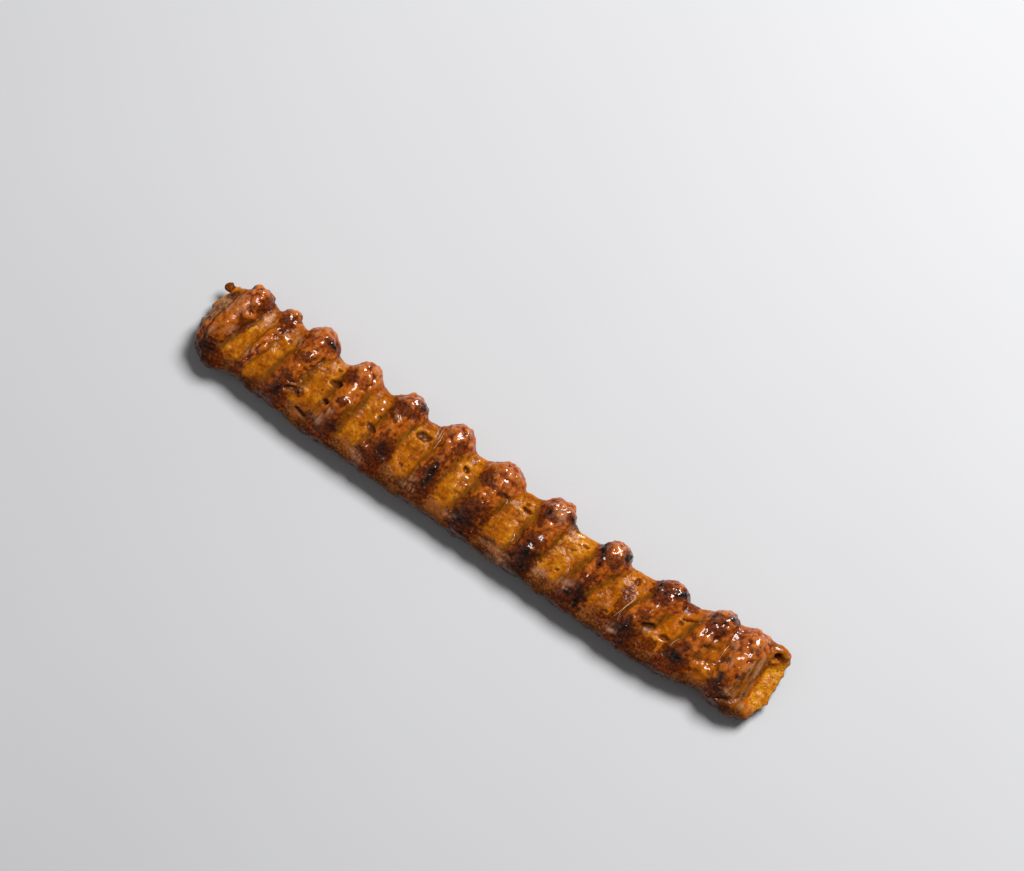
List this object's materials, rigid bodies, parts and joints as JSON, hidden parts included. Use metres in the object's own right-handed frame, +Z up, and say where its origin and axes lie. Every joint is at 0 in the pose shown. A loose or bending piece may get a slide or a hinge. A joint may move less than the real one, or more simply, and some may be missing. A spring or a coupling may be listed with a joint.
{
  "type": "kofta kebab",
  "caption": "Long flat grilled kofta of minced meat, off its skewer: finger-pressed ridges with browned knobs along one edge and an open slot at one end.",
  "frame": {"origin": "centre of the footprint's bounding box, on the surface that the kofta rests on", "axes": "+X along the loaf towards the open end that the skewer was drawn out of, +Y towards the knobbly edge, +Z up"},
  "size_m": [0.25, 0.0378, 0.0173],
  "materials": {
    "meat": "browned minced meat, glossy with oil"
  },
  "bodies": {
    "root": {"kofta": "meat"}
  },
  "joints": []
}
